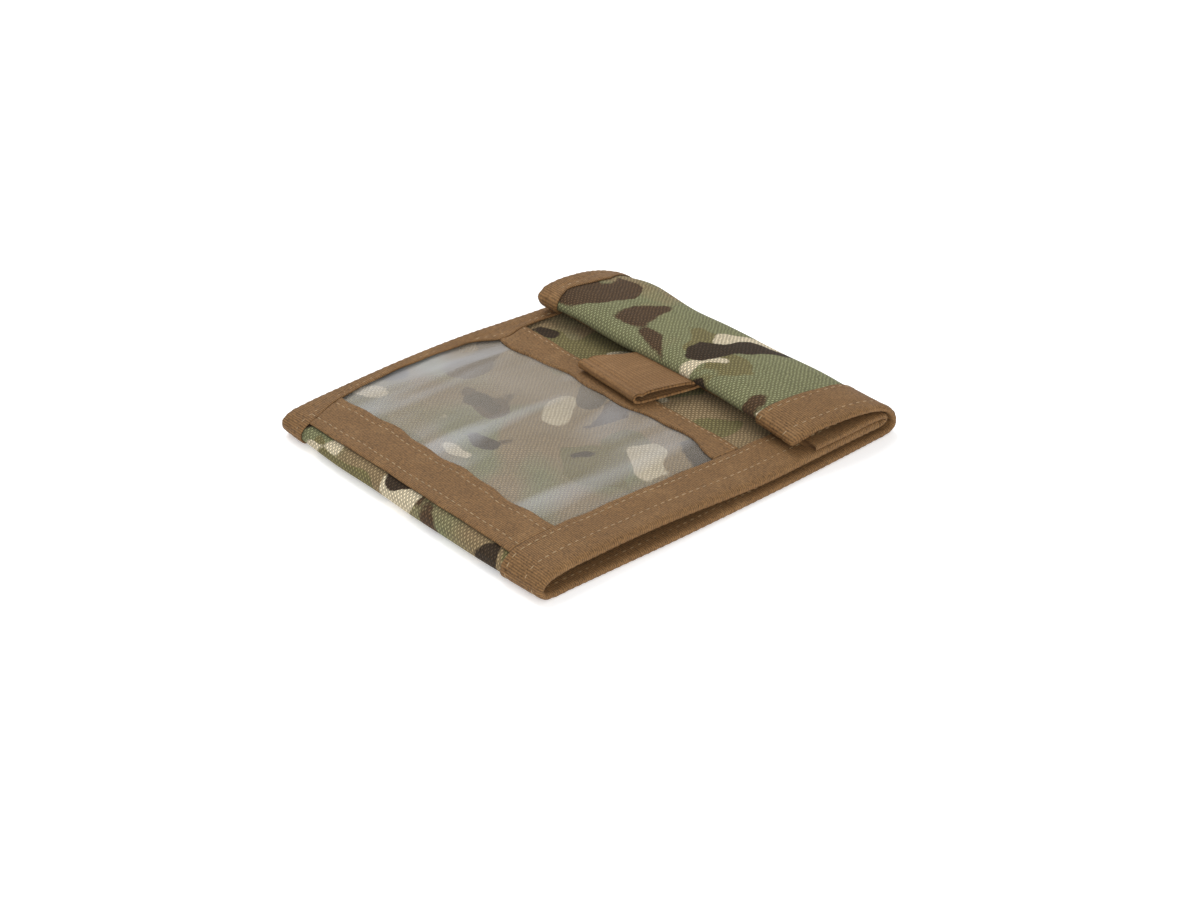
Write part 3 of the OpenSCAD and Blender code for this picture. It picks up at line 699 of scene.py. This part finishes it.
def acrossAt(strip, y):
    # the place across at which y lies, for edges about as wide as the strip's middle row
    r = strip.rows[len(strip.rows) // 2]
    return y / abs(r[3]) if y < 0 else y / abs(r[6])


def boxOf(node):
    # a node's x0, x1, y0, y1, z0, z1 in millimetres
    low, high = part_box(node)
    return [float(q) / mm for pair in zip(low, high) for q in pair]


# which body each piece follows; a piece at a crossing is baked in place, not blended
crossing = {  # start and end of each blend, millimetres
    "leftLower": ("back_panel", "left_spine", (-50.5, 0, 0.6), (-54.4, 0, 3.4)),
    "leftUpper": ("left_spine", "window_panel", (-54.4, 0, 3.8), (-51.0, 0, 6.5)),
    "rightLower": ("back_panel", "right_spine", (50.5, 0, 0.6), (54.1, 0, 3.3)),
    "rightUpper": ("right_spine", "closing_flap", (54.0, 0, 3.9), (49.5, 0, 8.4)),
}


def settle(piece, where, slotName, *nodes):
    # where is a body's name or a crossing's name
    if where in crossing:
        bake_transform(piece)
    else:
        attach(piece, where)
    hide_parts(*nodes)


# cloth and linings
def clothPiece(name, key, u0, u1, material, where, nodes):
    # the outer cloth lies half above and half below its strip's middle layer
    strip = strips[key]
    edge = cloth["edge"]
    piece = slab(name, strip, u0, u1, -edge, edge, -half, half, finish[material], step=0.9)
    settle(piece, where, "shell_cloth", *nodes)


def liningPiece(name, key, u0, u1, where, nodes, low=liningTop - cloth["lining"], high=liningTop,
                edge=cloth["edge"] - cloth["liningIn"]):
    strip = strips[key]
    piece = slab(name, strip, u0, u1, -edge, edge, low, high, finish["lining"], step=1.1)
    settle(piece, where, "lining_cloth", *nodes)


left, right, landing, tab = strips["left"], strips["right"], strips["landing"], strips["tab"]
clothPiece("backClothLeft", "left", 0, seamLeft, "shellCloth", "leftLower", ["back_shell", "left_fold_shell"])
clothPiece("backClothRight", "right", 0, seamRight, "shellCloth", "rightLower", ["back_shell", "right_fold_shell"])
x0, x1, y0, y1, z0, z1 = boxOf("clear_window")
underVinyl = (-left.atX(x1, seamLeft), -left.atX(x0, seamLeft + 3), y0, y1)
finish["windowCloth"] = camouflageCloth("windowCloth", 31.0, veiled=underVinyl, **shellMix)
clothPiece("windowCloth", "left", seamLeft, left.length, "windowCloth", "leftUpper",
           ["window_shell", "left_fold_shell"])
clothPiece("landingCloth", "landing", 0, landing.length - 1.4, "landingCloth", "window_panel", ["landing_band"])
clothPiece("flapCloth", "right", seamRight, right.length, "shellCloth", "rightUpper",
           ["flap_shell", "right_fold_shell"])
liningPiece("backLiningLeft", "left", 0, seamLeft, "leftLower", ["back_lining", "left_fold_lining"])
liningPiece("backLiningRight", "right", 0, seamRight, "rightLower", ["back_lining", "right_fold_lining"])
liningPiece("windowLining", "left", seamLeft, left.length - 0.6, "leftUpper", ["window_lining", "left_fold_lining"])
liningPiece("foldLining", "right", seamRight, seamRight + 12.5, "rightUpper", ["right_fold_lining"])
liningPiece("flapLining", "flapFloor", 0, strips["flapFloor"].length, "closing_flap", ["flap_lining"],
            low=-0.18, high=0.18, edge=0.985)
print("cloth and linings made")

# edge tapes
binding = {  # widths and the stitch rows' insets; round the roll, factors on the far width
    "near": 12.7, "far": 5.0, "nearRows": (4.3, 11.3), "farRows": (3.7,), "farEdge": 47.3,
    "rollStations": [9, 10, 11, 12, 13, 15, 18], "rollWidths": (0.85, 1.1, 1.48, 1.35, 1.1, 1.5, 0.9),
}


def farWidth(u):
    # wide where the tape rounds the left fold and at the window's mouth, and narrow between them
    fold, mouth = left.stations[8], left.atX(7, seamLeft)
    bells = 1.05 * np.exp(-(((u - fold) / 12) ** 2)) + 0.75 * np.exp(-(((u - mouth) / 6) ** 2))
    return 0.72 + bells + 0.28 * np.clip((u - mouth) / 8, 0, 1)


def farTapeEdge(u):
    # where the far tape's inner edge runs, as a distance from the strip's middle
    return binding["farEdge"] - binding["far"] * farWidth(u)


def flapFarWidth(u):
    # narrow at the fold, wide over the top of the roll and again round its nose
    return np.interp(u, right.stations[binding["rollStations"]], binding["rollWidths"])


def bindPair(label, key, u0, u1, where, upper, lower, parts, near=binding["near"], pucker=0.04, farWiden=None,
             nearRows=binding["nearRows"]):
    # a tape on each edge of a strip, in place of the front and rear bindings of the parts it runs along
    sides = (("Near", "front", near, nearRows, None), ("Far", "rear", binding["far"], binding["farRows"], farWiden))
    for side, end, width, rows, widen in sides:
        piece = edgeTape(label + side + "Tape", strips[key], u0, u1, side == "Near", width, upper, lower, rows,
                         pucker, widen)
        settle(piece, where, "binding_tape", *[f"{part}_{end}_binding" for part in parts])


bindPair("backLeft", "left", 0, seamLeft, "leftLower", 0.84, 0.86, ["back", "left_fold"],
         farWiden=farWidth, nearRows=(2.8, 11.3))
bindPair("backRight", "right", 0, seamRight, "rightLower", 0.84, 0.86, ["back", "right_fold"], nearRows=(2.8, 11.3))
bindPair("window", "left", seamLeft, left.length, "leftUpper", 1.38, 0.84, ["window", "left_fold"],
         pucker=0.05, farWiden=farWidth, nearRows=(5.2, 11.0))
bindPair("landing", "landing", 0, landing.length, "window_panel", 0.8, 0.8, ["landing"], near=12.0)
bindPair("flap", "right", seamRight, right.length, "rightUpper", 0.86, 0.8, ["flap", "right_fold"],
         pucker=0.05, farWiden=flapFarWidth, nearRows=(3.4, 11.4))
print("edge tapes made")


# tapes across the panels
def rounded(u, u0, u1, r):
    # 1 in the middle and a quarter circle down to 0 at both ends, over a length r
    d = np.clip(np.minimum(u - u0, u1 - u) / r, 0, 1)
    return np.sqrt(np.clip(1 - (1 - d) ** 2, 0, 1))


ribbon = {  # every tape across a panel
    "step": 0.5, "roundEdge": 0.35, "ripple": 0.08, "pressed": 0.13, "pressWidth": 0.45,
    "tucked": 0.3, "rowStart": 0.8, "sunk": 0.1, "sunkOneRow": 0.18,
}


def crossTape(name, strip, u0, u1, y0, y1, base, thick, rows, tuck, wave=(0.0, 0.0), edgeLine=None, until=None):
    # a tape that runs across a strip: height = base + thick * quarter-circle edges, its stitch rows pressed in
    v0, v1 = acrossAt(strip, y0 - tuck[0]), acrossAt(strip, y1 + tuck[1])
    nu, nv = max(9, int((u1 - u0) / ribbon["step"]) + 2), int((y1 + tuck[1] - y0 + tuck[0]) / 0.6) + 2
    t = np.linspace(0, 1, nu)
    t = 0.5 - 0.5 * np.cos(np.pi * t) * (0.35 + 0.65 * np.abs(np.cos(np.pi * t)) ** 0.3)
    p = np.random.default_rng(len(name) + int(u0 * 3) % 97).uniform(0, 6.28, 4)
    share, v = np.meshgrid(t, np.linspace(v0, v1, nv), indexing="ij")
    y = v * halfWidth
    start = u0 + wave[0] * (0.6 * np.sin(0.19 * y + p[0]) + 0.4 * np.sin(0.47 * y + p[1]))
    if edgeLine:
        start = start + np.interp(y, *zip(*edgeLine))
    end = u1 + wave[1] * (0.6 * np.sin(0.23 * y + p[2]) + 0.4 * np.sin(0.53 * y + p[3]))
    u = start + (end - start) * share
    ripple = 1 + ribbon["ripple"] * np.sin(2 * np.pi * y / sewing["pitch"]) * (1 - np.sin(np.pi * share))
    rise = thick * (0.25 + 0.75 * rounded(u, start, end, ribbon["roundEdge"])) * ripple
    for r in rows:
        rise = rise - ribbon["pressed"] * np.exp(-((u - start - (end - start) * r) / ribbon["pressWidth"]) ** 2)
    last = until(u) if until else y1  # where the far edge tape comes over it
    inside = eased((np.minimum(y - y0, last - y) + 0.6) / 1.2)
    low = base - ribbon["tucked"] * (1 - inside)
    top = low + rise * (0.35 + 0.65 * inside)
    parts = [(*layered(strip, u, v, low, top, (y + 3.0, u + strip.offset)), 0)]
    height = base + thick - (ribbon["sunk"] if len(rows) > 1 else ribbon["sunkOneRow"])
    v0, v1 = acrossAt(strip, y0 + ribbon["rowStart"]), acrossAt(strip, y1 - ribbon["rowStart"])
    for r in rows:
        line = start[0] + (end[0] - start[0]) * r
        parts.append((*crossRow(strip, lambda at, line=line: np.interp(at, v[0], line), v0, v1, height), 1))
    return together(name, parts, [finish["tape"], finish["thread"]])


def onWindow(x):
    # the length along the left strip at which its upper leg passes x
    return left.atX(x, seamLeft)


x0, x1, y0, y1, z0, z1 = boxOf("window_side_tape")
sideTape = crossTape("sideTape", left, onWindow(x0) - 1.6, onWindow(x1) - 1.3, y0, y1 - 1.5, 0.8, 0.5, (0.2, 0.8),
                     tuck=(1.6, 3.0), wave=(0.12, 0.7), until=farTapeEdge)
settle(sideTape, "window_panel", "binding_tape", "window_side_tape")
mouthLine = (  # y, shift of the free edge
    (-36, 0.0), (-27, 2.4), (-20, 2.6), (-10, 1.6), (0, 0.9), (12, 0.3), (22, 0.2), (32, -1.0), (40, -1.2))
x0, x1, y0, y1, z0, z1 = boxOf("window_mouth_tape")
mouthTape = crossTape("mouthTape", left, onWindow(x0), onWindow(x1), y0, y1 - 1.0, 0.66, 0.7, (0.87,),
                      tuck=(1.6, 2.6), wave=(0.85, 0.2), edgeLine=mouthLine, until=farTapeEdge)
settle(mouthTape, "window_panel", "binding_tape", "window_mouth_tape")
x0, x1, y0, y1, z0, z1 = boxOf("landing_end_tape")
endTape = crossTape("landingEndTape", landing, landing.length - (x1 - x0), landing.length - 0.8, y0, y1, -0.8, 1.62,
                    (0.35,), tuck=(1.2, 1.0))
settle(endTape, "window_panel", "binding_tape", "landing_end_tape")
print("cross tapes made")

# clear window
vinyl = {  # near, far and edge are places across
    "thick": 0.2, "under": 0.5, "crown": 0.75, "wave": 0.1, "near": 0.75, "far": 0.88, "riseOver": 0.34,
    "edge": 0.972, "flatStart": 8, "flatEnd": 4,
}


def vinylHeight(u, v, u0, u1):
    # low at the sewn edges, crowned between them, with long shallow waves that run along the wallet
    t = np.clip((u - u0) / (u1 - u0), 0, 1)
    across = eased(np.where(v < 0, vinyl["near"] + v, vinyl["far"] - v) / vinyl["riseOver"])
    span = np.sin(np.pi * t) ** 0.6
    y = v * halfWidth
    waves = (np.sin(0.4 * y + 0.03 * u + 0.6) + 0.8 * np.sin(0.24 * y - 0.045 * u + 2.1)
             + 0.3 * np.sin(0.7 * y + 0.02 * u + 4.0) + 0.5 * np.sin(0.09 * u + 0.1 * y))
    crown = vinyl["crown"] * (0.7 + 0.3 * np.sin(0.05 * u + 0.04 * y))
    return vinyl["under"] + across * span * (crown + vinyl["wave"] * waves)


x0, x1, y0, y1, z0, z1 = boxOf("clear_window")
clearStart, clearEnd = onWindow(x0), onWindow(x1)
underside, topside = (
    lambda u, v, h=h: vinylHeight(u, v, clearStart + vinyl["flatStart"], clearEnd - vinyl["flatEnd"]) + h
    for h in (-vinyl["thick"] / 2, vinyl["thick"] / 2))
clearSheet = slab("clearSheet", left, clearStart, clearEnd, -vinyl["edge"], vinyl["edge"], underside, topside,
                  finish["vinyl"], step=0.8)
clearSheet.data.materials.append(finish["vinylBack"])
count = len(clearSheet.data.polygons)
normals = np.zeros(count * 3, np.float32)
clearSheet.data.polygons.foreach_get("normal", normals)
clearSheet.data.polygons.foreach_set("material_index", (normals[2::3] < -0.3).astype(np.int32))  # the side on the cloth
settle(clearSheet, "window_panel", "clear_vinyl", "clear_window")
print("clear window made")

# fasteners, pull tab, inner pockets
pads = {"loops": (0.3, 1.1), "hooks": (-1.2, -0.2), "landingEnd": 26.8}  # low, high; where the landing band's run ends
x0, x1, y0, y1, z0, z1 = boxOf("loop_tape")
bandEnd = landing.length + pads["landingEnd"]
loopPad = slab("loopPad", landing, bandEnd - x1, bandEnd - x0, acrossAt(landing, y0), acrossAt(landing, y1),
               *pads["loops"], finish["loops"], step=0.8)
settle(loopPad, "window_panel", "loop_fastener", "loop_tape")


def spanOn(strip, node):
    # a node's u0, u1, v0, v1 on the strip that passes through it
    x0, x1, y0, y1, z0, z1 = boxOf(node)
    begin = seamLeft if strip is left else 0.0
    return strip.atX(x0, begin), strip.atX(x1, begin), acrossAt(strip, y0), acrossAt(strip, y1)


floorStrip, inner, tail = strips["flapFloor"], strips["innerBack"], strips["tail"]
hookPad = slab("hookPad", floorStrip, *spanOn(floorStrip, "hook_tape"), *pads["hooks"], finish["hooks"], step=0.8)
settle(hookPad, "closing_flap", "hook_fastener", "hook_tape")

webbing = {"thick": 0.75, "tailThick": 0.72, "seamStation": 9, "stitches": 11, "seamHalf": 0.93, "sunk": 0.04}
skin, tailSkin = webbing["thick"] / 2, webbing["tailThick"] / 2
tabBody = slabArrays(tab, 0, tab.length, -1, 1, -skin, skin, step=0.3, rows=60)
seamRow = np.linspace(-webbing["seamHalf"], webbing["seamHalf"], webbing["stitches"])
place, along, across, normal = tab.frameAt(np.full(webbing["stitches"], tab.stations[webbing["seamStation"]]), seamRow)
tabSeam = capsules(place + normal * (skin - webbing["sunk"]), across, along, normal)
pullTab = together("pullTab", [(*tabBody, 0), (*tabSeam, 1)], [finish["webbing"], finish["thread"]])
settle(pullTab, "pull_tab", "webbing", "pull_tab")
tabTail = slab("tabTail", tail, 0, tail.length, -1, 1, -tailSkin, tailSkin, finish["webbing"], step=0.6)
settle(tabTail, "closing_flap", "webbing", "tab_tail")


def pocket(name, strip, node, base, thick, where):
    # a flat patch that follows a strip at one height
    piece = slab(name, strip, *spanOn(strip, node), base, base + thick, finish["lining"], step=1.4)
    settle(piece, where, "lining_cloth", node)
    x0, x1, y0, y1, z0, z1 = boxOf(node)


def mouthBand(name, strip, node, base, thick, where):
    # a tape along a pocket's mouth with one row of stitches on its outer side
    u0, u1, v0, v1 = spanOn(strip, node)
    body = slabArrays(strip, u0, u1, v0, v1, base, base + thick, step=0.8)
    outer, sign = (base + thick, 1.0) if base > 0 else (-base, -1.0)
    seam = stitchRow(strip, u0 + 1, u1 - 1, (v0 + v1) / 2, outer - 0.08, sign)
    piece = together(name, [(*body, 0), (*seam, 1)], [finish["tape"], finish["thread"]])
    settle(piece, where, "binding_tape", node)


pocket("upperCardPocket", inner, "upper_card_pocket", 0.78, 0.3, "back_panel")
mouthBand("upperPocketTape", inner, "upper_pocket_tape", 1.1, 0.3, "back_panel")
pocket("lowerCardPocket", inner, "lower_card_pocket", 1.12, 0.3, "back_panel")
mouthBand("lowerPocketTape", inner, "lower_pocket_tape", 1.45, 0.3, "back_panel")
pocket("slipPocket", left, "slip_pocket", -1.12, 0.32, "window_panel")
mouthBand("slipPocketTape", left, "slip_pocket_tape", -1.45, 0.32, "window_panel")
print("fasteners, tab and pockets made")

# floor, light
studio = {"floorHalf": 4, "floor": (0.9, 0.9, 0.9, 1), "floorGlow": 0.3, "sky": 0.62}
corner = studio["floorHalf"]
floorMesh = bpy.data.meshes.new("floor")
floorMesh.from_pydata([(-corner, -corner, 0), (corner, -corner, 0), (corner, corner, 0), (-corner, corner, 0)], [],
                      [(0, 1, 2, 3)])
floorPiece = bpy.data.objects.new("floor", floorMesh)
scene.collection.objects.link(floorPiece)
floorMaterial, floorTree, floorSurface = newMaterial("floorPaper", Roughness=0.9, Specular_IOR_Level=0.2)
floorSurface.inputs["Base Color"].default_value = studio["floor"]
floorSurface.inputs["Emission Color"].default_value = (1, 1, 1, 1)
floorSurface.inputs["Emission Strength"].default_value = studio["floorGlow"]
floorMesh.materials.append(floorMaterial)

world = bpy.data.worlds.new("studio")
scene.world = world
world.use_nodes = True
sky = world.node_tree.nodes["Background"].inputs
sky["Color"].default_value, sky["Strength"].default_value = (1.0, 1.0, 1.0, 1), studio["sky"]
scene.view_settings.view_transform = "Standard"
areaLight("keyLight", (0.15, 0.55, 0.75), 0.7, 5.4)
areaLight("fillLight", (-0.42, -0.84, 0.44), 0.8, 6.2)
areaLight("stripLight", (0.62, 0.70, 0.56), 1.1, 0.8, (0.94, 0.97, 1.0), height=0.3)
